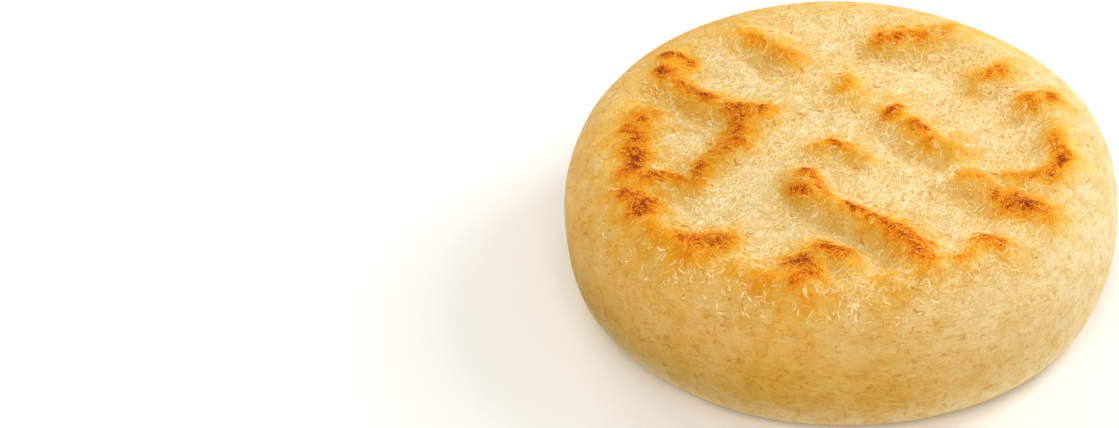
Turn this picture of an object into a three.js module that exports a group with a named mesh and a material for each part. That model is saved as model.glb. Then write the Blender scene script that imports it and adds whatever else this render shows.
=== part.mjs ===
// A griddled arepa: a thick round cake of white corn dough, in millimetres, +Z up.
// It is one solid. It rests on a flat underside whose centre is the origin.
// The top has a soft shoulder all round, and inside it raised welts and the furrows between them.
import * as THREE from "three";

// Driving dimensions of the whole cake.
const radius = 48.2;
const thickness = 26.1;
const bellyHeight = 14.2; // where the side stands out furthest
const topRound = { width: 13, power: 2.57 }; // shoulder, as a quarter of a superellipse
const baseRound = { width: 8.7, power: 3.0 }; // lower edge, the same way

// Resolution of the faceted surface.
const segments = 132;
const topRings = 23;
const roundSteps = 8;
const baseRings = 2;

// Shape of the pressed top.
const dishDepth = 1.2; // how far the middle lies below the shoulder
const dishRadius = 35;
const dishBlend = 6;
const mostRelief = 2.5; // no welt stands higher than this over the dish
const reliefFade = { from: 40, to: 45.5 }; // the relief dies out over the shoulder

// The outline is a little out of round, as hands leave it: shares of the radius at 2 to 6 lobes.
const lobes = [
  { count: 2, cosine: -0.0098, sine: -0.0113 },
  { count: 3, cosine: 0.0013, sine: -0.0044 },
  { count: 4, cosine: -0.0005, sine: 0.0024 },
  { count: 6, cosine: -0.0014, sine: 0.0038 },
];
const sideWobble = { share: 0.003, lobes: 5, perHeight: 0.22 };

// Welts stand up where the dough met the griddle. Each is a crest line, seen from above.
const welts = [
  { crest: [[-33.5, 8], [-36, 2.5], [-34.5, -3.5], [-35.5, -9.5], [-31.5, -11]], width: 3.1, height: 1.8 },
  { crest: [[-30, 23.5], [-30, 18], [-26.5, 14.5], [-21, 11], [-13.5, 9]], width: 2.9, height: 1.7 },
  { crest: [[-16.5, 7.5], [-17.5, 0.5], [-23, -5.5], [-26, -10.5], [-31, -11]], width: 2.9, height: 1.8 },
  { crest: [[-36, -16], [-32.5, -19.5], [-31.5, -25], [-25, -29.5], [-20.5, -27]], width: 3.2, height: 1.7 },
  { crest: [[-7, -40], [-7, -34.5], [-2.5, -30], [0.5, -31.5]], width: 3.5, height: 2.1 },
  { crest: [[-17, -33.5], [-12, -38], [-6, -40]], width: 3.0, height: 1.2 },
  { crest: [[-6, -8.5], [-5.5, -13.5], [2, -19], [9, -24.5], [12.5, -29], [14, -36]], width: 2.7, height: 2.0 },
  { crest: [[-4, -0.5], [-1, 0.5], [2.5, -2], [5, -4.5]], width: 2.1, height: 1.3 },
  { crest: [[0.5, 19], [1.5, 15]], width: 2.8, height: 1.4 },
  { crest: [[9, 9.5], [12.5, 4.5], [16.5, 0.5], [20, -2.5]], width: 2.5, height: 1.6 },
  { crest: [[-18, 30], [-14, 29.5], [-10, 26.5], [-8.5, 23]], width: 2.7, height: 1.5 },
  { crest: [[5.5, 30.5], [12, 30.5], [19, 32]], width: 3.1, height: 1.6 },
  { crest: [[24, 19], [28, 21]], width: 2.9, height: 1.5 },
  { crest: [[32, 12], [36, 12.5], [36.5, 7], [36, 2]], width: 2.8, height: 1.4 },
  { crest: [[36.5, 1], [38, -5], [35, -9.5], [29, -10]], width: 2.8, height: 1.4 },
  { crest: [[21.5, -9.5], [25.5, -13], [30, -18], [34.5, -21]], width: 2.9, height: 1.7 },
  { crest: [[27.5, -29.5], [23.5, -27.5], [20, -32], [16, -34]], width: 2.6, height: 1.4 },
  { crest: [[7.5, -37.5], [8.5, -40.5]], width: 2.5, height: 0.7 },
];

// Furrows run along the lower side of most welts.
const furrows = [
  { crest: [[-17, 28], [-13, 23], [-9.5, 21.5]], width: 2.7, depth: 0.9 },
  { crest: [[-38, 15.5], [-31, 13], [-26.5, 10], [-23, 8.5]], width: 2.3, depth: 1.0 },
  { crest: [[1.5, 31.5], [4, 27], [12, 23.5]], width: 2.3, depth: 0.8 },
  { crest: [[17, 20], [25.5, 14.5], [30, 8]], width: 2.6, depth: 0.9 },
  { crest: [[6, 9], [6, 5], [11.5, -2], [16, -4]], width: 2.3, depth: 0.9 },
  { crest: [[-1, -2], [4, -6]], width: 1.6, depth: 0.7 },
  { crest: [[-10.5, -10], [-9, -14.5], [-2.5, -20.5], [3.5, -25.5], [7.5, -31]], width: 2.4, depth: 1.0 },
  { crest: [[-26.5, -12.5], [-25, -18]], width: 2.1, depth: 0.6 },
  { crest: [[20, -11], [24, -17.5]], width: 2.5, depth: 0.9 },
  { crest: [[16.5, -20.5], [18, -24.5]], width: 2.0, depth: 0.6 },
];

const smoothStep = (low, high, value) => {
  const t = Math.min(1, Math.max(0, (value - low) / (high - low)));
  return t * t * (3 - 2 * t);
};

// Distance from a point to a line of straight pieces, in plan.
function distanceToCrest(x, y, crest) {
  let nearest = Infinity;
  for (let i = 1; i < crest.length; i++) {
    const [ax, ay] = crest[i - 1];
    const [bx, by] = crest[i];
    const along = ((x - ax) * (bx - ax) + (y - ay) * (by - ay)) / ((bx - ax) ** 2 + (by - ay) ** 2);
    const t = Math.min(1, Math.max(0, along));
    nearest = Math.min(nearest, Math.hypot(x - ax - t * (bx - ax), y - ay - t * (by - ay)));
  }
  return nearest;
}

const swell = (distance, width) => Math.exp(-((distance / width) ** 2));

// Height of the top over its plain shoulder height, at a place in plan.
function topRelief(x, y) {
  const fromCentre = Math.hypot(x, y);
  const dish = dishDepth * (1 - smoothStep(dishRadius - dishBlend, dishRadius + dishBlend, fromCentre));
  let notRaised = 1;
  for (const { crest, width, height } of welts) {
    notRaised *= 1 - (height / mostRelief) * swell(distanceToCrest(x, y, crest), width);
  }
  let sunk = 0;
  for (const { crest, width, depth } of furrows) {
    sunk = Math.max(sunk, depth * swell(distanceToCrest(x, y, crest), width));
  }
  const fade = 1 - smoothStep(reliefFade.from, reliefFade.to, fromCentre);
  return fade * (mostRelief * (1 - notRaised) - sunk) - dish;
}

// A quarter of a superellipse, from (0, 0) share at its start to (1, 1) at its end.
const quarter = (turn, power) => [Math.cos(turn) ** (2 / power), Math.sin(turn) ** (2 / power)];

// Half of the cake's section as (radius, height), from the middle of the base to the middle of the top.
function section() {
  const points = [];
  const flatBase = radius - baseRound.width;
  const flatTop = radius - topRound.width;
  for (let i = 0; i < baseRings; i++) points.push([(flatBase * i) / baseRings, 0]);
  for (let i = roundSteps; i > 0; i--) {
    const [out, down] = quarter(((Math.PI / 2) * i) / roundSteps, baseRound.power);
    points.push([flatBase + baseRound.width * out, bellyHeight * (1 - down)]);
  }
  for (let i = 0; i < roundSteps; i++) {
    const [out, up] = quarter(((Math.PI / 2) * i) / roundSteps, topRound.power);
    points.push([flatTop + topRound.width * out, bellyHeight + (thickness - bellyHeight) * up]);
  }
  for (let i = topRings; i >= 0; i--) points.push([(flatTop * i) / topRings, thickness]);
  return points.map(([r, z]) => new THREE.Vector2(r, z));
}

// Share of the plain radius at an angle round the cake and a height.
function outOfRound(angle, z) {
  let share = 1;
  for (const { count, cosine, sine } of lobes) {
    share += cosine * Math.cos(count * angle) + sine * Math.sin(count * angle);
  }
  return share + sideWobble.share * Math.sin(sideWobble.lobes * angle + sideWobble.perHeight * z);
}

function cakeGeometry() {
  const geometry = new THREE.LatheGeometry(section(), segments);
  geometry.rotateX(Math.PI / 2); // the lathe turns about Y
  const position = geometry.getAttribute("position");
  for (let i = 0; i < position.count; i++) {
    const z = position.getZ(i);
    const share = outOfRound(Math.atan2(position.getY(i), position.getX(i)), z);
    const x = position.getX(i) * share;
    const y = position.getY(i) * share;
    position.setXYZ(i, x, y, z > bellyHeight ? z + topRelief(x, y) : z);
  }
  geometry.computeVertexNormals();
  return geometry;
}

const crust = new THREE.MeshStandardMaterial({ color: 0xe8c887, roughness: 0.7, metalness: 0 });
const arepa = new THREE.Mesh(cakeGeometry(), crust);
arepa.name = "arepa";

const part = new THREE.Group();
part.add(arepa);

export default part;
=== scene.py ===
# %% [markdown]
# # A griddled arepa
# An arepa is a thick, round cake of white corn dough. It is pressed by hand and baked on a
# hot griddle. Its side stays pale and smooth. Its top is rough with swollen threads of crumb,
# and wherever it touched the griddle it has risen into welts that are golden and brown.
# This script dresses the plain solid of the cake in that crust, step by step.

# %% Load the frame
import math

import bmesh
import bpy
import numpy as np
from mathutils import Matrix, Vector, noise
from mathutils.bvhtree import BVHTree


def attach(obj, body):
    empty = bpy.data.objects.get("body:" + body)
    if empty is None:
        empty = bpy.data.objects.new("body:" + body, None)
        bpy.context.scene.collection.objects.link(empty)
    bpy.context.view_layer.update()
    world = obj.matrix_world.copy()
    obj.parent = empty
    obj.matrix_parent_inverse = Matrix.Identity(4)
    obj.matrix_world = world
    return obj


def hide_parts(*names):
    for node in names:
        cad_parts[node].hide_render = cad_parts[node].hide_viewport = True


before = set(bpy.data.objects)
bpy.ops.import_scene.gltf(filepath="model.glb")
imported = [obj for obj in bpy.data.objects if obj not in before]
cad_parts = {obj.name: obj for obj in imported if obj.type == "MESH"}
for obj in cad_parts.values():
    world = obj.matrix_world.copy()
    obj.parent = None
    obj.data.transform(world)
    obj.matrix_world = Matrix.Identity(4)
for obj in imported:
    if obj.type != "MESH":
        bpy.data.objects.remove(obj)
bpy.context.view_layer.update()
MM = 0.001

# %% [markdown]
# ## Camera
# The camera stands in front of the cake and looks down on it at 38 degrees. A long lens from
# three quarters of a metre keeps the circle of the cake calm. The cake sits in the right half
# of a wide frame, so the lens is shifted and the camera itself stays straight before the cake.

# %% Camera
FRAME_WIDTH = 1119  # pixels of the frame across
CENTRE_OFFSET = (281.0, 1.5)  # how far the cake lies right of and above the middle, in pixels
LOOK_AT = Vector((-0.0001, 0.0011, 0.010))
CAMERA_DISTANCE = 0.726
CAMERA_ELEVATION = math.radians(38)

bpy.ops.object.select_all(action="DESELECT")
away = Vector((0, -math.cos(CAMERA_ELEVATION), math.sin(CAMERA_ELEVATION)))
bpy.ops.object.camera_add(
    location=LOOK_AT + CAMERA_DISTANCE * away,
    rotation=(math.pi / 2 - CAMERA_ELEVATION, 0, 0),
)
camera = bpy.context.object
camera.data.lens = 135
camera.data.sensor_width = 36
camera.data.shift_x = -CENTRE_OFFSET[0] / FRAME_WIDTH
camera.data.shift_y = -CENTRE_OFFSET[1] / FRAME_WIDTH
bpy.context.scene.camera = camera
print("camera at", [round(v, 3) for v in camera.location])

# %% [markdown]
# ## Floor and light
# Food looks best on white under one large soft lamp. Here the lamp stands behind the cake on
# the right, so that it rakes over the welts and leaves their near left flanks in shade. A pale
# sky fills the rest, and large lit cards do what white boards do in a studio. The two high
# ones, behind and in front, lift the round shoulders. A warm one low on the left keeps the
# shaded side golden, and one low on the right lifts the side next to the lamp. One small lamp
# almost straight above gives the glints on the crumb.

# %% Floor and light
FLOOR_SIZE = 6  # metres
PAPER = {"colour": (0.93, 0.93, 0.93, 1), "roughness": 0.9}
SKY = {"colour": (0.97, 0.985, 1.0, 1), "strength": 0.42}
LAMPS = [  # name, place and size in metres, power in watts, colour
    ("key_lamp", (0.5, 0.3, 0.42), 0.32, 2.6, (0.945, 0.965, 1.0)),
    ("back_card", (-0.35, 0.7, 0.38), 0.5, 3.15, (1.0, 0.94, 0.8)),
    ("front_card", (-0.05, -0.6, 0.66), 0.6, 3.15, (1.0, 0.96, 0.88)),
    ("glint_lamp", (0.06, -0.12, 0.75), 0.12, 0.4, (1.0, 0.97, 0.9)),
    ("warm_card", (-0.6, -0.5, 0.14), 0.5, 1.1, (1.0, 0.71, 0.31)),
    ("side_card", (0.72, -0.3, 0.2), 0.4, 0.9, (1.0, 0.94, 0.82)),
]

bpy.ops.object.select_all(action="DESELECT")
bpy.ops.mesh.primitive_plane_add(size=FLOOR_SIZE, location=(0, 0, 0))
floor = bpy.context.object
floor.name = "studio_floor"
paper = bpy.data.materials.new("white_paper")
paper.use_nodes = True
paper.node_tree.nodes["Principled BSDF"].inputs["Base Color"].default_value = PAPER["colour"]
paper.node_tree.nodes["Principled BSDF"].inputs["Roughness"].default_value = PAPER["roughness"]
floor.data.materials.append(paper)

sky = bpy.data.worlds.new("soft_sky")
sky.use_nodes = True
sky.node_tree.nodes["Background"].inputs["Color"].default_value = SKY["colour"]
sky.node_tree.nodes["Background"].inputs["Strength"].default_value = SKY["strength"]
bpy.context.scene.world = sky
bpy.context.scene.view_settings.view_transform = "Standard"


def soft_lamp(name, place, size, power, colour):
    """An area lamp at a place, turned to the middle of the cake."""
    turn = (LOOK_AT - Vector(place)).to_track_quat("-Z", "Y").to_euler()
    bpy.ops.object.light_add(type="AREA", location=place, rotation=turn)
    lamp = bpy.context.object
    lamp.name = name
    lamp.data.size = size
    lamp.data.energy = power
    lamp.data.color = colour


for lamp_or_card in LAMPS:
    soft_lamp(*lamp_or_card)
print("lit by", [name for name, *_ in LAMPS])

# %% [markdown]
# ## The cake's body
# A potter would throw this shape: a flat base, a round lower edge, a belly and a soft shoulder.
# In Blender the same form is drawn by extruding a circle upwards ring by ring, with each new
# ring scaled to the radius that the section has at that height. A lathe would do it too, but
# the rings are as easy to follow as the real outline. Both edges are quarters of a
# superellipse, which stays fuller than a circle.

# %% The cake's body
RADIUS = 48.2 * MM
THICKNESS = 25.9 * MM  # the crumb adds a little more
BELLY = 14.2 * MM  # height where the side stands out furthest
TOP_ROUND = {"width": 13 * MM, "power": 2.57}
BASE_ROUND = {"width": 8.7 * MM, "power": 3.0}
RING_SIDES = 128
ROUND_STEPS = 12


def quarter(turn, power):
    """A point of a superellipse's quarter, from (0, 0) at its start to (1, 1) at its end."""
    return math.cos(turn) ** (2 / power), math.sin(turn) ** (2 / power)


def section():
    """The rings of the cake from its base to its top, as (radius, height)."""
    rings = []
    for i in range(ROUND_STEPS, -1, -1):
        out, down = quarter(math.pi / 2 * i / ROUND_STEPS, BASE_ROUND["power"])
        rings.append((RADIUS - BASE_ROUND["width"] * (1 - out), BELLY * (1 - down)))
    for i in range(1, ROUND_STEPS + 1):
        out, up = quarter(math.pi / 2 * i / ROUND_STEPS, TOP_ROUND["power"])
        rings.append((RADIUS - TOP_ROUND["width"] * (1 - out), BELLY + (THICKNESS - BELLY) * up))
    return rings


bpy.ops.object.select_all(action="DESELECT")
rings = section()
bpy.ops.mesh.primitive_circle_add(vertices=RING_SIDES, radius=rings[0][0], fill_type="NGON")
crust = bpy.context.object
crust.name = "arepa_crust"
bpy.ops.object.mode_set(mode="EDIT")
bpy.ops.mesh.select_all(action="SELECT")
for (r0, z0), (r1, z1) in zip(rings, rings[1:]):
    bpy.ops.mesh.extrude_region_move(TRANSFORM_OT_translate={"value": (0, 0, z1 - z0)})
    bpy.ops.transform.resize(value=(r1 / r0, r1 / r0, 1), center_override=(0, 0, z1))
bpy.ops.mesh.select_all(action="SELECT")
bpy.ops.mesh.normals_make_consistent(inside=False)
bpy.ops.object.mode_set(mode="OBJECT")
print("the body has", len(crust.data.polygons), "faces on", len(rings), "rings")

# %% [markdown]
# ## Even faces all over
# Fine relief needs small faces of one size, and the rings gave long thin ones. The Remesh
# modifier lays an even skin of squares over the form, as a sculptor starts with a smooth ball
# of clay. The side and the underside are smooth on a real arepa, so Decimate then thins the
# skin there. It works through a vertex group, and leaves alone what has no weight in it. On a
# true plane it would keep hardly any vertices, and the browning of the underside is painted on
# them. So the underside is shaken first, by less than a crumb, and laid flat again after it.

# %% Even faces all over
SKIN = 0.36 * MM  # side of one face of the top
SMOOTH_BELOW = 17.0  # millimetres: under this height the skin may be coarser
MOST_TRIANGLES = 192000
UNDERSIDE = 0.5 * SKIN / MM  # millimetres: what lies under this height is the underside
SHAKE = 0.05  # millimetres


def finish_with(piece, kind, **settings):
    """Adds one modifier to a piece and applies it, with nothing else selected."""
    bpy.ops.object.select_all(action="DESELECT")
    bpy.context.view_layer.objects.active = piece
    piece.select_set(True)
    bpy.ops.object.modifier_add(type=kind)
    modifier = piece.modifiers[-1]
    for name, value in settings.items():
        setattr(modifier, name, value)
    bpy.ops.object.modifier_apply(modifier=modifier.name)


def places(piece):
    """The vertices of a piece as rows of x, y, z in millimetres."""
    flat = np.empty(3 * len(piece.data.vertices))
    piece.data.vertices.foreach_get("co", flat)
    return flat.reshape(-1, 3) / MM


def move_to(piece, where):
    """Puts the vertices of a piece at rows of x, y, z in millimetres."""
    piece.data.vertices.foreach_set("co", (where * MM).ravel())
    piece.data.update()


def triangles(piece):
    """How many triangles the faces of a piece make."""
    return sum(len(face.vertices) - 2 for face in piece.data.polygons)


def weigh(piece, group_name, weights):
    """A vertex group with one weight for each vertex, as if it were painted on."""
    group = piece.vertex_groups.new(name=group_name)
    for i in np.flatnonzero(weights > 0):
        group.add([int(i)], float(weights[i]), "REPLACE")
    return group.name


finish_with(crust, "REMESH", mode="VOXEL", voxel_size=SKIN)
even = triangles(crust)
skin = places(crust)
underneath = skin[:, 2] < UNDERSIDE
skin[underneath, 2] += SHAKE * np.random.default_rng(5).random(underneath.sum())
move_to(crust, skin)
smooth_part = weigh(crust, "smooth_part", (places(crust)[:, 2] < SMOOTH_BELOW).astype(float))
finish_with(crust, "DECIMATE", ratio=MOST_TRIANGLES / even, vertex_group=smooth_part)
skin = places(crust)
skin[skin[:, 2] < UNDERSIDE + SHAKE, 2] = 0
move_to(crust, skin)
print("the underside has", int((skin[:, 2] == 0).sum()), "vertices")
print("the skin has", even, "triangles, then", triangles(crust))

# %% [markdown]
# ## Out of round, as hands leave it
# A hand-shaped cake is never a true circle. Its outline is stretched by a few broad lobes, and
# its side leans in and out by a fraction of a millimetre.

# %% Out of round
LOBES = [  # how many, cosine, sine
    (2, -0.0098, -0.0113),
    (3, 0.0013, -0.0044),
    (4, -0.0005, 0.0024),
    (6, -0.0014, 0.0038),
]
SIDE_WOBBLE = {"share": 0.003, "lobes": 5, "per_height": 0.22}


def out_of_round(where):
    """Share of the plain radius at each place."""
    angle = np.arctan2(where[:, 1], where[:, 0])
    share = np.ones(len(where))
    for count, cosine, sine in LOBES:
        share += cosine * np.cos(count * angle) + sine * np.sin(count * angle)
    turn = SIDE_WOBBLE["lobes"] * angle + SIDE_WOBBLE["per_height"] * where[:, 2]
    return share + SIDE_WOBBLE["share"] * np.sin(turn)


skin = places(crust)
skin[:, :2] *= out_of_round(skin)[:, None]
move_to(crust, skin)
print("radius from", round(np.hypot(skin[:, 0], skin[:, 1]).max(), 2), "mm at its widest")

# %% [markdown]
# ## Welts and furrows
# The griddle lifts the dough into welts, and between them the top stays sunk. Each welt is a
# crest line seen from above, and the dough swells round it. A sculptor would draw these with
# the clay brush: here each line has its points, and a bell curve of the distance to the line
# gives the height. Slow noise bends the lines, because nothing in dough is drawn with a ruler.

# %% Welts and furrows
WELTS = [  # crest line in millimetres seen from above, width of the swelling, height, how toasted
    ([(-33.5, 8), (-36, 2.5), (-34.5, -3.5), (-35.5, -9.5), (-31.5, -11)], 3.1, 1.8, 1.35),
    ([(-30, 23.5), (-30, 18), (-26.5, 14.5), (-21, 11), (-13.5, 9)], 2.9, 1.7, 1.0),
    ([(-16.5, 7.5), (-17.5, 0.5), (-22.5, -4.5), (-25.5, -9.2), (-31, -10.3)], 2.9, 1.8, 1.0),
    ([(-36, -16), (-32.5, -19.5), (-31, -25), (-24.5, -29.5), (-20, -27)], 3.2, 1.7, 1.0),
    ([(-7, -40), (-7, -34.5), (-2.5, -30), (0.5, -31.5)], 3.5, 2.1, 0.94),
    ([(-16.2, -33.2), (-11.2, -37.7), (-5.2, -39.7)], 3.0, 1.2, 0.9),
    ([(-6, -8.5), (-5.5, -13.5), (2, -19), (9, -24.5), (12.5, -29), (14, -36)], 2.7, 2.0, 0.86),
    ([(-4.4, -0.3), (-1.4, 0.7), (2, -1.7), (4.2, -3.8)], 2.1, 1.3, 0.88),
    ([(1, 19), (2, 15)], 2.8, 1.4, 0.75),
    ([(9, 10.2), (12.5, 5.2), (16.5, 1.2), (19.5, -1.5)], 2.5, 1.6, 0.95),
    ([(-18, 31.5), (-14, 30.9), (-10, 27.9), (-8.5, 24.6)], 2.7, 1.5, 0.73),
    ([(8, 31.1), (13, 31.1), (20, 32.5)], 3.0, 1.6, 0.68),
    ([(24, 19), (28, 21)], 2.9, 1.5, 0.63),
    ([(32, 12), (36.3, 12.5), (37, 7), (36.8, 2)], 2.9, 1.4, 0.65),
    ([(37, 1), (38.8, -5), (35.5, -9.2), (29, -9.8)], 3.0, 1.4, 0.75),
    ([(21.5, -9.5), (25.5, -13), (30, -18), (33.6, -20.4)], 2.9, 1.7, 0.7),
    ([(27.5, -29.5), (23.5, -27.5), (20, -32), (16, -34)], 2.6, 1.4, 0.65),
    ([(7.5, -36.5), (8.5, -39.5)], 2.5, 0.7, 0.85),
]
FURROWS = [  # line, width, depth
    ([(-17, 28), (-13, 23), (-9.5, 21.5)], 2.7, 0.9),
    ([(-38, 15.5), (-31, 13), (-26.5, 10), (-23, 8.5)], 2.3, 1.0),
    ([(1.5, 31.5), (4, 27), (12, 23.5)], 2.3, 0.8),
    ([(17, 20), (25.5, 14.5), (30, 8)], 2.6, 0.9),
    ([(6, 9), (6, 5), (11.5, -2), (16, -4)], 2.3, 0.9),
    ([(-1, -2), (4, -6)], 1.6, 0.7),
    ([(-10.5, -10), (-9, -14.5), (-2.5, -20.5), (3.5, -25.5), (7.5, -31)], 2.4, 1.0),
    ([(-26.5, -12.5), (-25, -18)], 2.1, 0.6),
    ([(20, -12.5), (24, -18.5)], 2.5, 0.7),
    ([(16.5, -20.5), (18, -25)], 2.0, 0.8),
]
DISH = {"depth": 1.2, "radius": 35.0, "blend": 6.0}  # the pressed middle
MOST_RELIEF = 2.5
FADE = (40.0, 45.5)  # the relief dies out between these radii
BEND = {"size": 6.0, "by": 0.6}  # how the noise bends the lines


def smooth_step(low, high, value):
    """0 under low, 1 over high, and a soft S between them."""
    t = np.clip((value - low) / (high - low), 0, 1)
    return t * t * (3 - 2 * t)


def bell(distance, width):
    """1 on a line, and softly less over a width on both sides of it."""
    return np.exp(-((distance / width) ** 2))


def distance_to_line(plan, line):
    """Distance of each place, seen from above, to a line of straight pieces."""
    nearest = np.full(len(plan), np.inf)
    for a, b in zip(np.array(line, float), np.array(line[1:], float)):
        along = np.clip((plan - a) @ (b - a) / ((b - a) @ (b - a)), 0, 1)
        nearest = np.minimum(nearest, np.linalg.norm(plan - a - along[:, None] * (b - a), axis=1))
    return nearest


def noise_at(where, size, octaves=1, shift=0.0):
    """Smooth noise from about -1 to 1 at each place, with lumps of a size in millimetres."""
    return np.array(
        [noise.fractal((p[0] + shift, p[1], p[2]), 1.0, 2.0, octaves) for p in where / size]
    )


def bent(where):
    """The places seen from above, pushed about by slow noise."""
    pushes = [noise_at(where, BEND["size"], shift=s) for s in (0.0, 40.0)]
    return where[:, :2] + BEND["by"] * np.column_stack(pushes)


def top_relief(where):
    """Height over the plain shoulder height, at each place of the top."""
    plan = bent(where)
    from_centre = np.hypot(where[:, 0], where[:, 1])
    edge = smooth_step(DISH["radius"] - DISH["blend"], DISH["radius"] + DISH["blend"], from_centre)
    not_raised = np.ones(len(where))
    for line, width, height, _ in WELTS:
        not_raised *= 1 - height / MOST_RELIEF * bell(distance_to_line(plan, line), width)
    depths = [depth * bell(distance_to_line(plan, line), width) for line, width, depth in FURROWS]
    sunk = np.max(depths, axis=0)
    fade = 1 - smooth_step(*FADE, from_centre)
    return fade * (MOST_RELIEF * (1 - not_raised) - sunk) - DISH["depth"] * (1 - edge)


skin = places(crust)
on_top = skin[:, 2] > BELLY / MM
relief = np.zeros(len(skin))
relief[on_top] = top_relief(skin[on_top])
skin[:, 2] += relief
move_to(crust, skin)
print("the relief runs from", round(relief.min(), 2), "to", round(relief.max(), 2), "mm")

# %% [markdown]
# ## Where the griddle has toasted it
# Dough colours where it touches hot iron. Every welt has a golden glow that spreads past it,
# and short brown strokes lie where the crests stood highest. The shoulder took a little colour
# from the rim of the pan, and the underside, which lay flat, has browned in broad patches. It is
# kept as a number for every vertex: toast for the gold, and scorch for the brown. A material
# turns them into colour later, so the pattern stays with the surface. This is vertex painting,
# done in code. An image painted on an unwrapped cake would do it too, but would need a file.

# %% Toast
GLOW = {"width": 1.2, "toast": 0.148}  # its width is a share of the welt's own
HALO = {"width": 2.4, "toast": 0.1}  # a fainter one that reaches further
EMBER = {"width": 1.9, "toast": 0.17}  # and one round each brown stroke, as a share of its width
PATCHES = {"size": 3.0, "mean": 0.95, "by": 0.7, "least": 0.25, "most": 1.35}  # of the gold
TOAST_SHIFT = np.array((0.0, 0.4))  # the browning lies this far behind the crests
RIM = {"toast": 0.09, "in_front": 0.55, "radius": (36.0, 42.0), "height": (15.0, 22.0)}
BASE = {  # the underside
    "below": 1.0,
    "toast": 0.34,
    "fades": (28.0, 41.0),
    "patch": 10.0,
    "gold": (-0.35, 0.35),
    "brown": (0.1, 0.5),
}
SCORCHES = [  # line of a brown stroke in millimetres seen from above, how far it reaches, strength
    ([(-30, 24.4), (-27.3, 23.1)], 1.6, 0.95),
    ([(-31, 19.4), (-30.3, 17.9)], 1.2, 0.8),
    ([(-28.5, 16.2), (-27.3, 15.1), (-24.5, 13.5), (-22, 12.2)], 1.1, 0.6),
    ([(-19, 9.4), (-17, 8.9), (-13.1, 9.2)], 1.4, 0.75),
    ([(-17, 7.5), (-18.1, 4.1), (-18.7, -0.2), (-16.7, 0.1)], 1.3, 0.8),
    ([(-21.4, -3.2), (-19.5, -2.2)], 1.0, 0.65),
    ([(-34.4, 5.1), (-36.5, 1.9)], 1.1, 0.6),
    ([(-34, 0.2), (-36.2, -4.4)], 1.2, 0.75),
    ([(-34.7, -2.5), (-34.1, -4.7), (-35.3, -9.1)], 1.3, 0.9),
    ([(-32.7, -11.3), (-30.8, -9.5), (-27.3, -9.8)], 1.0, 0.65),
    ([(-23.9, -10.4), (-24.5, -8.6), (-23.3, -6.6)], 0.9, 0.6),
    ([(-36.1, -15.2), (-34.4, -15.5)], 1.4, 0.95),
    ([(-31.8, -17.5), (-33.5, -20.1)], 1.6, 1.0),
    ([(-24.3, -28), (-22, -28.4), (-20.2, -27)], 2.2, 1.0),
    ([(-28.8, -28.3), (-27.8, -28.1)], 0.8, 0.35),
    ([(-8.6, -33.2), (-6.4, -32.6), (-5.6, -36.4)], 1.9, 0.95),
    ([(-2.7, -28.9), (-0.4, -30.4)], 1.8, 0.9),
    ([(-7.9, -39.5), (-7, -39.4)], 0.8, 0.7),
    ([(-6.5, -8.3), (-4.7, -10.1)], 1.1, 0.7),
    ([(-8.2, -11.8), (-6.2, -14.4)], 1.1, 0.85),
    ([(-3.9, -11.8), (-1.9, -14.4)], 1.0, 0.65),
    ([(1.1, -17.8), (4.8, -21.2), (9.4, -24.3)], 1.1, 0.9),
    ([(9.8, -24.6), (12.6, -27.6)], 2.1, 1.1),
    ([(13.3, -31.3), (14, -32.6)], 1.7, 0.85),
    ([(21.1, -31.2), (19.6, -33.5)], 0.9, 0.5),
    ([(23.1, -27.2), (26.4, -29.2)], 1.3, 0.75),
    ([(21.1, -9.2), (24.5, -11.2)], 0.9, 0.5),
    ([(25.7, -14.7), (27.4, -16.3)], 1.1, 0.7),
    ([(28.9, -16.9), (31.6, -18.5)], 2.3, 1.15),
    ([(32.9, -19.8), (33.7, -20.1)], 1.8, 0.8),
    ([(36.6, -0.5), (37, -2.2)], 1.2, 0.75),
    ([(38.2, -5), (37, -6.7), (35.3, -9.3)], 1.5, 0.9),
    ([(32.7, -10.1), (29.4, -9.3)], 1.0, 0.55),
    ([(32.2, 12.5), (33.3, 10.4)], 1.3, 0.7),
    ([(35.3, 13.4), (36.8, 11.1)], 1.3, 0.7),
    ([(24.2, 19.4), (27.7, 20)], 1.3, 0.55),
    ([(26.2, 22.7), (26.4, 22.1)], 0.9, 0.4),
    ([(7.5, 30.4), (10.5, 30.8), (14.5, 30.3)], 1.5, 0.65),
    ([(10.7, 33.5), (11.1, 33)], 0.8, 0.5),
    ([(16.8, 31.9), (18.5, 31.8)], 1.1, 0.35),
    ([(-15.2, 29.9), (-14.2, 29.6)], 1.0, 0.5),
    ([(-11.6, 27.2), (-8.2, 25.2)], 1.1, 0.45),
    ([(0.6, 18.6), (1.4, 16.9), (-0.2, 15.5)], 0.9, 0.4),
    ([(8.4, 8.9), (10, 9.4)], 1.2, 0.85),
    ([(12.6, 4.9), (14.5, 3.8)], 1.1, 0.75),
    ([(16.2, 1.2), (14.8, 0.1)], 1.0, 0.6),
    ([(-1.9, 0.6), (1.3, -1.4)], 1.0, 0.6),
    ([(-4.8, -0.6), (-4.3, -0.7)], 0.7, 0.45),
    ([(-5.5, 43), (-3.5, 43.6)], 0.7, 0.4),
]
LAMP_SIDE = math.radians(20)  # toward the key lamp; what darkens away from it is painted shade


def strongest(plan, strokes):
    """The highest of the bell curves round some strokes, each a line, a width and a strength."""
    bells = [power * bell(distance_to_line(plan, line), width) for line, width, power in strokes]
    return np.max(bells, axis=0)


def round_welts(plan, share, toasted=False):
    """A bell curve round each welt, as wide as a share of it, and as strong as it is toasted."""
    strokes = [(line, share * width, toast if toasted else 1.0) for line, width, _, toast in WELTS]
    return strongest(plan, strokes)


def lamp_side(where):
    """From 1 on the side toward the key lamp to -1 on the opposite one."""
    return np.cos(np.arctan2(where[:, 1], where[:, 0]) - LAMP_SIDE)


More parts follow.
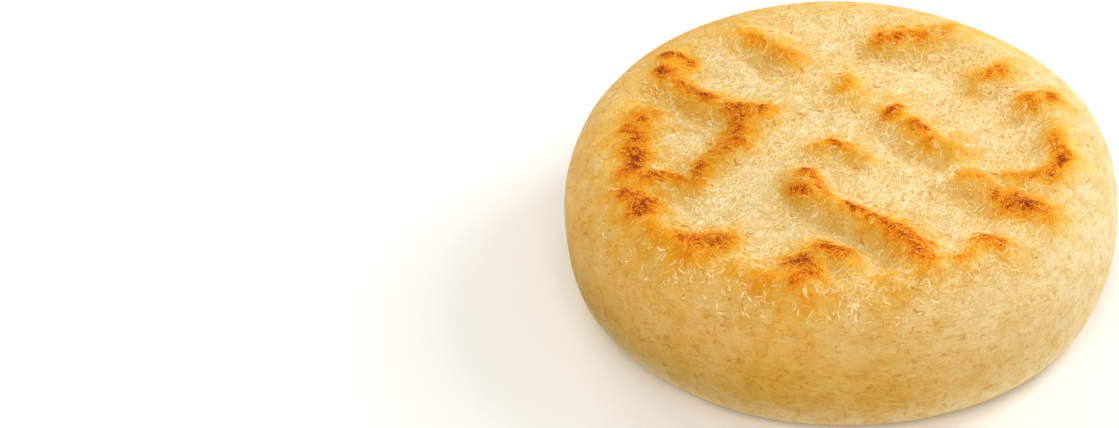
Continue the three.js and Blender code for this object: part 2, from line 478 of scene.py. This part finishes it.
def toast_of_rim(where):
    """The shoulder leant on the hot rim of the pan, behind and a little in front."""
    radius = np.hypot(where[:, 0], where[:, 1])
    behind = smooth_step(0.3, 0.8, where[:, 1] / np.maximum(radius, 1.0))
    in_front = RIM["in_front"] * smooth_step(-0.2, 0.6, -lamp_side(where))
    shoulder = smooth_step(*RIM["radius"], radius) * smooth_step(*RIM["height"], where[:, 2])
    return RIM["toast"] * (shoulder * np.maximum(behind, in_front))


def toast_of_top(where):
    """Gold and brown on the top: two glows round each welt, and one round each brown stroke."""
    plan = bent(where) - TOAST_SHIFT
    glow = round_welts(plan, GLOW["width"], toasted=True)
    halo = round_welts(plan, HALO["width"], toasted=True)
    brown = strongest(plan, SCORCHES)
    wide = [(line, EMBER["width"] * width, strength) for line, width, strength in SCORCHES]
    ember = strongest(plan, wide)
    spots = PATCHES["by"] * noise_at(where, PATCHES["size"], octaves=2, shift=60.0)
    patches = np.clip(PATCHES["mean"] + spots, PATCHES["least"], PATCHES["most"])
    toasted = GLOW["toast"] * glow + HALO["toast"] * halo + toast_of_rim(where)
    return patches * toasted + EMBER["toast"] * ember, brown


def toast_of_base(where):
    """The underside lay flat on the griddle, so it has browned in broad soft patches."""
    inside = 1 - smooth_step(*BASE["fades"], np.hypot(where[:, 0], where[:, 1]))
    patches = noise_at(where, BASE["patch"], octaves=3, shift=100.0)
    gold = BASE["toast"] * inside * smooth_step(*BASE["gold"], patches)
    return gold, inside * smooth_step(*BASE["brown"], patches)


def paint(piece, name, values):
    """A number for each vertex of a piece, which its material can read."""
    layer = piece.data.attributes.new(name, "FLOAT", "POINT")
    layer.data.foreach_set("value", values.astype(np.float32))


skin = places(crust)
toast = np.zeros(len(skin))
scorch = np.zeros(len(skin))
toast[on_top], scorch[on_top] = toast_of_top(skin[on_top])
on_base = skin[:, 2] < BASE["below"]
toast[on_base], scorch[on_base] = toast_of_base(skin[on_base])
paint(crust, "toast", toast)
paint(crust, "scorch", scorch)
print("scorched over a half:", round(100 * float((scorch > 0.5).mean()), 1), "% of the vertices")

# %% [markdown]
# ## Tan and shade
# The side of the cake has an even golden skin that thins out over the shoulder. It is painted
# deeper on the side away from the lamp, which is painted shade, and paler at the foot, which is
# painted light thrown back by the floor. The half of the top away from the lamp is painted
# darker, and each welt has a lee: the foot of its near left flank, which is sunk, and painted
# golden and darker as painted shade. The shaded tan is the number for the gold with that shade
# in it, and shade the number for painted shade alone. The wrinkles of the side run round it, so
# one more attribute holds a way round the cake, and a pattern that reads it follows the curve.
# Plain object coordinates would draw the wrinkles straight across.

# %% Tan and shade
# the lee's tan and shade are painted shade where the lamp leaves each welt's near left flank; its
# sunk share is real relief
LEE = {"shift": np.array((3.2, 3.6)), "width": 1.35, "shaded_tan": 0.32, "shade": 0.1, "sunk": 0.2}
LEE_FADES = (29.0, 40.0)  # radius
TAN = {"shoulder": 0.57, "side": 0.42, "uneven": 0.1, "patch": 9.0}
TAN_FADES = {"height": (12.0, 25.5), "radius": (34.0, 44.0), "foot": (0.5, 9.0)}
# painted shade low on the side away from the lamp; it fades at the very foot as painted floor
# light
SHADED_FOOT = {"starts": (0.0, 6.0), "ends": (2.0, 18.0)}  # height
# painted shade on the half of the top that lies away from the lamp
SHADED_HALF = {"shade": 0.19, "radius": (33.0, 41.0), "across": (8.0, -22.0)}
WAY_ROUND = 45.0  # radius in millimetres at which the way round the cake is measured


def in_the_lee(where):
    """1 at the foot of each welt's near left flank, on the top of the cake alone."""
    inside = 1 - smooth_step(*LEE_FADES, np.hypot(where[:, 0], where[:, 1]))
    lees = [(line, LEE["width"] * width, height / 2) for line, width, height, _ in WELTS]
    return strongest(where[:, :2] + LEE["shift"], lees) * inside * (where[:, 2] > SMOOTH_BELOW)


def shaded_tan_of_skin(where):
    """Gold of the skin, with painted shade away from the lamp and in each lee, and painted light
    at the foot.
    """
    down = 1 - smooth_step(*TAN_FADES["height"], where[:, 2])
    outward = smooth_step(*TAN_FADES["radius"], np.hypot(where[:, 0], where[:, 1]))
    patches = 1 + TAN["uneven"] * noise_at(where, TAN["patch"], octaves=2, shift=80.0)
    # painted shade: the tan deepens on the side away from the lamp
    turned = np.clip(0.75 - 0.7 * lamp_side(where), 0.1, 0.9)
    # painted light: the tan pales at the foot, where the floor throws light back
    floor_bounce = 0.25 + 0.75 * smooth_step(*TAN_FADES["foot"], where[:, 2])
    side = outward * (TAN["shoulder"] + TAN["side"] * down) * turned * patches * floor_bounce
    return np.clip(side + LEE["shaded_tan"] * in_the_lee(where), 0, 1)


def shade_of_skin(where):
    """Painted shade: low on the side away from the lamp, in each lee, and on the left half of the
    top.
    """
    height = where[:, 2]
    away = (0.5 - 0.5 * lamp_side(where)) ** 3
    started = smooth_step(*SHADED_FOOT["starts"], height)
    shade_at_foot = started * (1 - smooth_step(*SHADED_FOOT["ends"], height)) * away
    across = where[:, 0] * math.cos(LAMP_SIDE) + where[:, 1] * math.sin(LAMP_SIDE)
    within = 1 - smooth_step(*SHADED_HALF["radius"], np.hypot(where[:, 0], where[:, 1]))
    shaded_half = smooth_step(*SHADED_HALF["across"], across) * within * (height > SMOOTH_BELOW)
    return shade_at_foot + LEE["shade"] * in_the_lee(where) + SHADED_HALF["shade"] * shaded_half


def round_way(where):
    """A way round the cake and a way up over its shoulder, for what follows its curve."""
    turn = np.arctan2(where[:, 1], where[:, 0])
    up = where[:, 2] - np.hypot(where[:, 0], where[:, 1])
    return np.column_stack((WAY_ROUND * np.cos(turn), WAY_ROUND * np.sin(turn), up)) * MM


shaded_tan = shaded_tan_of_skin(skin)
paint(crust, "shaded_tan", shaded_tan)
paint(crust, "shade", shade_of_skin(skin))
way = crust.data.attributes.new("round_way", "FLOAT_VECTOR", "POINT")
way.data.foreach_set("vector", round_way(skin).astype(np.float32).ravel())
print("the tan is", round(float(shaded_tan.max()), 2), "at its deepest")

# %% [markdown]
# ## Crumb lumps and blisters
# Close up, the top is lumpy crumb, and the browned crests are covered in small curled
# blisters. Both are pushed out along the normals of the skin. Noise makes the lumps. For the
# blisters a Voronoi pattern is better, because its cells meet in creases as blisters do. The
# side swells and sinks more broadly, and the lee of each welt is sunk a little.

# %% Crumb lumps and blisters
LUMPS = [(2.6, 0.15), (1.1, 0.16)]  # size and height, in millimetres
LEAST_LUMPS = 0.12  # share of the lumps that is left where there is no crumb
BLISTER = {"size": 1.25, "height": 0.34, "sunk": 0.3, "from": 0.15, "to": 0.47}
SIDE_SWELL = {"size": 9.0, "height": 0.22, "sunk": 0.15}
SWELL_FADE = (20.0, 25.0)  # millimetres: heights between which the side's swelling dies out
CRUMB_ABOVE = 20  # millimetres
CRUMB_REACH = {"behind": 40.0, "in_front": 44.5}  # radius where the crumb ends
FLAT_FOOT = 3.0  # millimetres: the pushing starts over this height, so the underside stays flat


def normals_of(piece):
    """The directions in which the skin faces, at the vertices of a piece."""
    flat = np.empty(3 * len(piece.data.vertices))
    piece.data.vertex_normals.foreach_get("vector", flat)
    return flat.reshape(-1, 3)


def blisters(where, size):
    """Domes with creases between them, from 0 in a crease to about 1 on a dome."""
    out = []
    for p in where / size:
        (first, second, *_), _ = noise.voronoi(p)
        out.append(min(1.0, 1.6 * (second - first)))
    return np.array(out)


def within_crumb(where, soft):
    """1 where the crumb is, and 0 on the smooth shoulder, over a soft edge of some millimetres."""
    radius = np.hypot(where[:, 0], where[:, 1])
    in_front = smooth_step(0.1, 0.8, -where[:, 1] / np.maximum(radius, 1.0))
    reach = CRUMB_REACH["behind"] + (CRUMB_REACH["in_front"] - CRUMB_REACH["behind"]) * in_front
    return (1 - smooth_step(reach - soft, reach + 1.0, radius)) * (where[:, 2] > CRUMB_ABOVE)


on_crumb = within_crumb(skin, soft=4.0)
paint(crust, "crumb", on_crumb)
swell = SIDE_SWELL["height"] * noise_at(skin, SIDE_SWELL["size"]) - SIDE_SWELL["sunk"]
push = swell * (1 - smooth_step(*SWELL_FADE, skin[:, 2]))
lumpy = LEAST_LUMPS + (1 - LEAST_LUMPS) * on_crumb
for size, height in LUMPS:
    push += height * noise_at(skin, size, octaves=2, shift=size) * lumpy
browned = np.flatnonzero(toast > BLISTER["from"])
raised = blisters(skin[browned], BLISTER["size"]) - BLISTER["sunk"]
push -= LEE["sunk"] * in_the_lee(skin)
full = smooth_step(BLISTER["from"], BLISTER["to"], toast[browned])
push[browned] += BLISTER["height"] * raised * full
foot = smooth_step(0.0, FLAT_FOOT, skin[:, 2])
skin += normals_of(crust) * (push * foot)[:, None]
skin[:, 2] = np.maximum(skin[:, 2], 0)
move_to(crust, skin)
for face in crust.data.polygons:
    face.use_smooth = True
print("pushed by", round(push.min(), 2), "to", round(push.max(), 2), "mm")

# %% [markdown]
# ## What dough looks like up close
# Corn dough is matt and a little see-through, so light spreads in it and leaves the hollows
# deeper and yellower than the tips. The shader spreads some of that light, and the rest is
# painted shade. Its colour comes from the toast number, broken up by fine noise so that no patch
# is even, because each crumb browns at its own pace. The same noise gives the finest relief as a
# bump, and its low places are tinted with painted shade, as are the feet of the threads. The
# tips of the threads are painted paler, partly as a painted highlight. The side has ripples and
# thin creases that run round it, with painted shade along the creases, and small dimples and
# pits. One function makes the finish for the crust and for the threads, so that they match.

# %% The dough's material
def srgb(r, g, b):
    """A colour given as on a screen, from 0 to 255, as the numbers that a shader wants."""
    return tuple(((c / 255 + 0.055) / 1.055) ** 2.4 for c in (r, g, b)) + (1.0,)


PALE_TO_BROWN = [  # toast, colour
    (0.00, (246, 230, 189)),
    (0.12, (248, 214, 128)),
    (0.27, (250, 191, 50)),
    (0.44, (246, 160, 6)),
    (0.60, (224, 124, 4)),
    (0.76, (190, 92, 10)),
    (1.00, (150, 64, 14)),
]
# Tints for painted shade (hollows, tan, shade, creases) and a painted highlight (cream); the rest
# are the dough's own colours.
HOLLOW_SHADE_TINT = (251, 226, 146)
PIT_TINT = (232, 186, 84)
SHADED_TAN_TINT = (219, 183, 76)
SHADE_TINT = (206, 215, 228)
MOTTLE_TINT = (249, 238, 208)
CREASE_SHADE_TINT = (236, 205, 112)
HIGHLIGHT_CREAM = (252, 244, 212)
NOISES = {  # waves per metre, detail, distortion
    "curls": (950.0, 3.0, 1.8),
    "grain": (2800.0, 2.0, 0.8),
    "creases": (260.0, 3.0, 1.3),
    "ripples": (340.0, 2.0, 1.4),
    "dimples": (700.0, 2.0, 0.8),
    "pits": (1300.0, 2.0, 0.8),
    "dark_curls": (560.0, 2.0, 2.5),
    "clumps": (420.0, 3.0, 0.6),
    "mottle": (300.0, 4.0, 0.6),
}
BANDS = {  # a noise counts as 0 under the first number and as 1 over the second
    "dimples": (0.635, 0.71),
    "pits": (0.66, 0.76),
    "clumps": (0.47, 0.6),
    "mottle": (0.42, 0.62),
}
LINES = {"creases": (0.0, 0.03), "dark_curls": (0.012, 0.06)}  # half widths, sharp and soft
TIPS = (0.58, 0.86)  # the fine relief is a hollow under the first and a tip over the second
DRAWN_OUT = 1.9  # creases and ripples are so many times longer round the cake than up it
LIGHT_SPREAD = {"red_green_blue": (1.0, 0.5, 0.2), "reach": 1.2 * MM}
RELIEF = 0.5 * MM  # the height of the finest relief, where its number is 1


def dough(name, roughness, gloss, see_through, bump, folds=0.0):
    """A finish for dough. On threads, the tips are paler, partly as a painted highlight, and the
    feet are painted shade.
    """
    finish = bpy.data.materials.new(name)
    finish.use_nodes = True
    tree = finish.node_tree
    shader = tree.nodes["Principled BSDF"]
    shader.inputs["Roughness"].default_value = roughness
    shader.inputs["Specular IOR Level"].default_value = gloss
    shader.inputs["Subsurface Weight"].default_value = see_through
    shader.inputs["Subsurface Radius"].default_value = LIGHT_SPREAD["red_green_blue"]
    shader.inputs["Subsurface Scale"].default_value = LIGHT_SPREAD["reach"]

    def node(kind, inputs, **settings):
        """A node with its inputs set to values or linked to sockets."""
        made = tree.nodes.new("ShaderNode" + kind)
        for key, value in settings.items():
            setattr(made, key, value)
        for key, value in inputs.items():
            if isinstance(value, bpy.types.NodeSocket):
                tree.links.new(value, made.inputs[key])
            else:
                made.inputs[key].default_value = value
        return made

    def number(attribute):
        return node("Attribute", {}, attribute_name=attribute).outputs["Fac"]

    def math_of(kind, *values):
        return node("Math", dict(enumerate(values)), operation=kind).outputs[0]

    def between(value, low, high):
        """0 under low, 1 over high."""
        return node("MapRange", {"Value": value, "From Min": low, "From Max": high}).outputs[0]

    def noise_of(name, vector):
        scale, detail, distortion = NOISES[name]
        inputs = {"Vector": vector, "Scale": scale, "Detail": detail, "Distortion": distortion}
        return node("TexNoise", inputs).outputs["Fac"]

    def band_of(name, vector):
        return between(noise_of(name, vector), *BANDS[name])

    def minus(value, other):
        return math_of("SUBTRACT", value, other)

    def lines_of(name, vector):
        """Thin lines where a noise passes its middle: 1 on them, and 0 past a width."""
        from_middle = math_of("ABSOLUTE", minus(noise_of(name, vector), 0.5))
        return minus(1.0, between(from_middle, *LINES[name]))

    def tint(colour, by, share, blend="MULTIPLY"):
        inputs = {"Factor": share, 6: colour, 7: srgb(*by)}
        return node("Mix", inputs, data_type="RGBA", blend_type=blend).outputs[2]

    at = node("TexCoord", {}).outputs["Object"]
    way = node("Attribute", {}, attribute_name="round_way").outputs["Vector"]
    drawn_out = node("Mapping", {"Vector": way, "Scale": (1.0, 1.0, DRAWN_OUT)}).outputs["Vector"]
    curls = noise_of("curls", at)
    height = math_of("MULTIPLY_ADD", noise_of("grain", at), 0.5, curls)  # from about 0.4 to 1.1
    side = math_of("MULTIPLY", minus(1.0, number("crumb")), folds)
    crease = lines_of("creases", drawn_out)
    rippled = math_of("MULTIPLY", side, 6.0)
    ripples = math_of("MULTIPLY", noise_of("ripples", drawn_out), rippled)
    dimples = math_of("MULTIPLY", band_of("dimples", at), side)
    pits = math_of("MAXIMUM", band_of("pits", at), dimples)

    glow = math_of("MULTIPLY", number("toast"), math_of("MULTIPLY_ADD", curls, 1.4, 0.3))
    curled = math_of("MULTIPLY_ADD", lines_of("dark_curls", at), 0.24, 0.17)
    charring = math_of("MULTIPLY_ADD", band_of("clumps", at), 0.34, curled)
    brown = math_of("MULTIPLY", number("scorch"), charring)
    ramp = node("ValToRGB", {"Fac": math_of("ADD", glow, brown)})
    for i, (place, colour) in enumerate(PALE_TO_BROWN):
        stop = ramp.color_ramp.elements[i] if i < 2 else ramp.color_ramp.elements.new(place)
        stop.position = place
        stop.color = srgb(*colour)

    # painted shade: the low places of the fine relief and the feet of the threads are tinted
    # darker and yellower
    shaded_hollow = math_of("MULTIPLY", minus(1.0, between(height, *TIPS)), number("crumb"))
    colour = tint(ramp.outputs["Color"], HOLLOW_SHADE_TINT, math_of("MAXIMUM", shaded_hollow, number("thread_foot_shade")))
    # the pale tips of the threads are partly fresher dough and partly a painted highlight
    colour = tint(colour, HIGHLIGHT_CREAM, number("fresh_and_highlit"), blend="MIX")
    # the shaded tan and the shade both carry painted shade
    colour = tint(colour, SHADED_TAN_TINT, number("shaded_tan"))
    colour = tint(colour, SHADE_TINT, number("shade"))
    colour = tint(colour, MOTTLE_TINT, band_of("mottle", at))
    # painted shade along the creases, which are also bumped in
    colour = tint(colour, CREASE_SHADE_TINT, math_of("MULTIPLY", crease, side))
    colour = tint(colour, PIT_TINT, math_of("MAXIMUM", pits, number("pitted")))
    tree.links.new(colour, shader.inputs["Base Color"])

    pitted = math_of("MULTIPLY_ADD", pits, -0.4, math_of("ADD", height, ripples))
    folded = math_of("MULTIPLY_ADD", crease, -0.35 * folds, pitted)
    finest = node("Bump", {"Strength": bump, "Distance": RELIEF, "Height": folded})
    tree.links.new(finest.outputs["Normal"], shader.inputs["Normal"])
    return finish


corn_crust = dough("corn_crust", roughness=0.5, gloss=0.08, see_through=0.25, bump=0.55, folds=0.6)
crust.data.materials.append(corn_crust)
print("the crust's finish has", len(corn_crust.node_tree.nodes), "nodes")

# %% [markdown]
# ## Threads of crumb
# Corn dough tears into short curled threads when it dries, and the top is covered in them.
# A bump can't show them, because they stand up, cast shadows and catch the light. One thread
# is a triangle that is spun round part of a circle, with both its ends drawn to a point. A few
# such threads, straighter or more curled, are modelled once and then copied by the thousand.

# %% One thread
THREAD_WIDTH = 0.28  # millimetres across
THREAD_FLATNESS = 0.5  # the section is lower than an even triangle by this share
THREAD_SHAPES = [  # radius of the curl in millimetres, how far it turns in degrees, steps
    (4.0, 16, 3),
    (3.0, 30, 3),
    (2.0, 48, 3),
    (1.2, 70, 4),
    (0.8, 110, 5),
    (0.5, 170, 6),
]


def close_end(first):
    """Draws one open end of the spun triangle to a point."""
    mesh = bmesh.from_edit_mesh(bpy.context.edit_object.data)
    mesh.verts.ensure_lookup_table()
    rim = mesh.verts[:3] if first else mesh.verts[-3:]
    for vertex in mesh.verts:
        vertex.select_set(vertex in rim)
    mesh.select_flush_mode()
    bpy.ops.mesh.merge(type="CENTER")


def thread(radius, degrees, steps):
    """One curled thread as (vertices, faces), lying flat round the origin, in millimetres."""
    bpy.ops.object.select_all(action="DESELECT")
    bpy.ops.mesh.primitive_circle_add(
        vertices=3,
        radius=THREAD_WIDTH / math.sqrt(3),
        location=(radius, 0, 0),
        rotation=(math.pi / 2, 0, 0),
    )
    piece = bpy.context.object
    bpy.ops.object.transform_apply(location=True, rotation=True, scale=True)
    bpy.ops.object.mode_set(mode="EDIT")
    bpy.ops.mesh.select_all(action="SELECT")
    bpy.ops.transform.resize(value=(1, 1, THREAD_FLATNESS))
    bpy.ops.mesh.spin(steps=steps, angle=math.radians(degrees), center=(0, 0, 0), axis=(0, 0, 1))
    close_end(first=True)
    close_end(first=False)
    bpy.ops.mesh.select_all(action="SELECT")
    bpy.ops.mesh.normals_make_consistent(inside=False)
    bpy.ops.mesh.quads_convert_to_tris()
    bpy.ops.object.mode_set(mode="OBJECT")
    vertices = np.array([v.co for v in piece.data.vertices])
    faces = np.array([f.vertices[:] for f in piece.data.polygons])
    bpy.data.objects.remove(piece)
    return vertices - vertices.mean(axis=0) * (1, 1, 0), faces


threads = [thread(*shape) for shape in THREAD_SHAPES]
print("a thread has", [len(faces) for _, faces in threads], "triangles")

# %% [markdown]
# ## Thread by thread over the crust
# Each copy gets a place on the skin, a turn and a size of its own, all drawn from one seeded
# generator. Its vertices are then laid down on the nearest skin, as if each thread were still
# soft, so none floats and none cuts straight through a welt. All the threads of one kind are
# one mesh, and each carries the toast, the tan and the shade of the crust beneath it. A few
# have browned right through. Geometry Nodes could scatter them too, but to bend each one to
# the skin takes more there than here.

# %% Lay threads down
ROOM = 0.97  # share of the triangles that is used, since the shapes are drawn by chance
LIFT = 0.03  # millimetres between the skin and the middle of a thread
BROWNING = (0.4, 1.4)  # each thread has browned at its own pace
FEW_FRESH = 1.5  # a power that leaves only a few threads as fresh as they can be
draw = np.random.default_rng(20)
skin = places(crust)
skin_faces = [face.vertices[:] for face in crust.data.polygons]
skin_tree = BVHTree.FromPolygons([Vector(p) for p in skin], skin_faces)
crust.data.calc_loop_triangles()
tris = np.array([t.vertices[:] for t in crust.data.loop_triangles])
tri_areas = np.array([t.area for t in crust.data.loop_triangles])
tri_middles = skin[tris].mean(axis=1)
tri_toast = toast[tris].mean(axis=1)
tri_scorch = scorch[tris].mean(axis=1)
tri_shaded_tan = shaded_tan_of_skin(tri_middles)
tri_shade = shade_of_skin(tri_middles)


def lay_down(name, shapes, most_triangles, density, size, fresh_and_highlit=(0.0, 0.9), dark=0.0):
    """Copies of some shapes, laid on the skin where density says, and joined to one piece."""
    count = int(most_triangles / np.mean([len(faces) for _, faces in shapes]) * ROOM)
    chance = tri_areas * density
    picked = draw.choice(len(tris), size=count, p=chance / chance.sum())
    mix = draw.dirichlet((1, 1, 1), size=count)
    middles = (skin[tris[picked]] * mix[:, :, None]).sum(axis=1)
    turns = draw.uniform(0, 2 * math.pi, count)
    sizes = draw.uniform(*size, count)
    kinds = draw.integers(len(shapes), size=count)
    freshness = draw.uniform(*fresh_and_highlit, count) ** FEW_FRESH
    browning = draw.uniform(*BROWNING, count)
    dark_ones = (draw.random(count) < dark).astype(float)
    vertices, faces, lengths, tips = [], [], [], []
    start = 0
    for middle, turn, scale, kind in zip(middles, turns, sizes, kinds):
        shape, shape_faces = shapes[kind]
        _, normal, _, _ = skin_tree.find_nearest(Vector(middle))
        across = normal.orthogonal().normalized()
        along = normal.cross(across)
        x, y = shape[:, 0] * scale, shape[:, 1] * scale
        spread = (
            middle
            + np.outer(math.cos(turn) * x - math.sin(turn) * y, across)
            + np.outer(math.sin(turn) * x + math.cos(turn) * y, along)
        )
        for point, up in zip(spread, shape[:, 2] * scale + LIFT):
            under, outward, _, _ = skin_tree.find_nearest(Vector(point))
            vertices.append((under + outward * up) * MM)
        faces.append(shape_faces + start)
        start += len(shape)
        lengths.append(len(shape))
        tips.append((shape[:, 2] - shape[:, 2].min()) / np.ptp(shape[:, 2]))
    mesh = bpy.data.meshes.new(name)
    mesh.from_pydata(vertices, [], np.concatenate(faces).tolist())
    piece = bpy.data.objects.new(name, mesh)
    bpy.context.scene.collection.objects.link(piece)
    tip = np.concatenate(tips)
    paint(piece, "toast", np.repeat(tri_toast[picked] * browning, lengths))
    paint(piece, "scorch", np.repeat(tri_scorch[picked] * browning, lengths))
    paint(piece, "shaded_tan", np.repeat(tri_shaded_tan[picked] * (1 - freshness), lengths))
    paint(piece, "shade", np.repeat(tri_shade[picked], lengths))
    paint(piece, "pitted", np.repeat(dark_ones, lengths))
    # tips painted paler: partly fresher dough, partly a painted highlight
    paint(piece, "fresh_and_highlit", np.repeat(freshness * (1 - dark_ones), lengths) * tip)
    # painted shade at the foot of each thread
    paint(piece, "thread_foot_shade", 1 - tip)
    print(name, "has", count, "copies and", len(mesh.polygons), "triangles")
    return piece


# %% [markdown]
# ## Where each kind of thread lies
# Pale threads cover the crumb in patches, and fine ones fill in between them. Both are sparse
# on the slopes of the welts, where the griddle pressed the crumb flat. Golden threads, more
# curled, lie where the dough has browned. A few bright ones catch the light on the shoulder in
# front, and their tips are painted pale as a painted highlight. Each kind has a density for
# every triangle of the crust.

# %% Threads on the crust
CRUMB_PATCHES = {"size": 8.0, "by": 0.55, "least": 0.1, "most": 2.0}
PALE_UNTIL = (0.06, 0.3)  # toast over which pale threads give way
GOLDEN_FROM = (0.06, 0.25)  # toast over which golden ones come in
SLOPES = {"reach": 1.5, "radius": 40.0, "bare": 0.6}
SHOULDER = {"inside": (35.0, 40.0), "outside": (44.5, 46.5)}  # radius
tri_radius = np.hypot(tri_middles[:, 0], tri_middles[:, 1])
front = np.maximum(0, -tri_middles[:, 1] / tri_radius)  # from 0 to 1 in front
over_top = within_crumb(tri_middles, soft=6.0)
patchy = 1 + CRUMB_PATCHES["by"] * noise_at(tri_middles, CRUMB_PATCHES["size"], shift=20.0)
crumb_patches = np.clip(patchy, CRUMB_PATCHES["least"], CRUMB_PATCHES["most"])
not_browned = 1 - smooth_step(*PALE_UNTIL, tri_toast)
near_welts = round_welts(tri_middles[:, :2], SLOPES["reach"]) * (tri_radius < SLOPES["radius"])
in_lee = in_the_lee(tri_middles)
bare_slopes = (1 - SLOPES["bare"] * near_welts) * (1 - SLOPES["bare"] * in_lee)
pale_threads = lay_down(
    "pale_crumb_threads",
    threads,
    most_triangles=110000,
    density=over_top * crumb_patches * not_browned * bare_slopes,
    size=(0.8, 1.6),
    dark=0.012,
)
fine_threads = lay_down(
    "fine_crumb_threads",
    threads[:3],
    most_triangles=50000,
    density=over_top * (0.2 + not_browned) * bare_slopes,
    size=(0.5, 0.9),
    dark=0.02,
)
golden_threads = lay_down(
    "golden_crumb_threads",
    threads[1:6],
    most_triangles=150000,
    density=over_top * smooth_step(*GOLDEN_FROM, tri_toast) * (0.3 + tri_scorch),
    size=(0.55, 1.15),
    fresh_and_highlit=(0.0, 0.12),
)
rim_inside = smooth_step(*SHOULDER["inside"], tri_radius)
rim_outside = 1 - smooth_step(*SHOULDER["outside"], tri_radius)
on_shoulder = rim_inside * rim_outside * (tri_middles[:, 2] > CRUMB_ABOVE)
bright_threads = lay_down(
    "bright_rim_threads",
    threads[:3],
    most_triangles=4000,
    density=on_shoulder * (0.05 + front) * not_browned,
    size=(0.4, 1.0),
    fresh_and_highlit=(0.5, 1.0),
)

# %% [markdown]
# ## The threads' finish
# A thread is drier and glossier than the crust, so it catches the light. On the browned crests
# it is matt. Light doesn't spread in the threads: they are so thin that it would turn them grey.

# %% The threads' finish
for piece in (pale_threads, fine_threads, bright_threads):
    glossy = dough(piece.name, roughness=0.3, gloss=0.4, see_through=0.0, bump=0.1)
    piece.data.materials.append(glossy)
matt = dough("golden_crumb_threads", roughness=0.5, gloss=0.06, see_through=0.0, bump=0.1)
golden_threads.data.materials.append(matt)
print("finishes:", [material.name for material in bpy.data.materials])

# %% [markdown]
# ## Onto the body
# Every piece rides on the cake's only body, and the crust stands in for the plain solid,
# which is hidden.

# %% Finish
for piece in (crust, pale_threads, fine_threads, golden_threads, bright_threads):
    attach(piece, "root")
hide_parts("arepa")
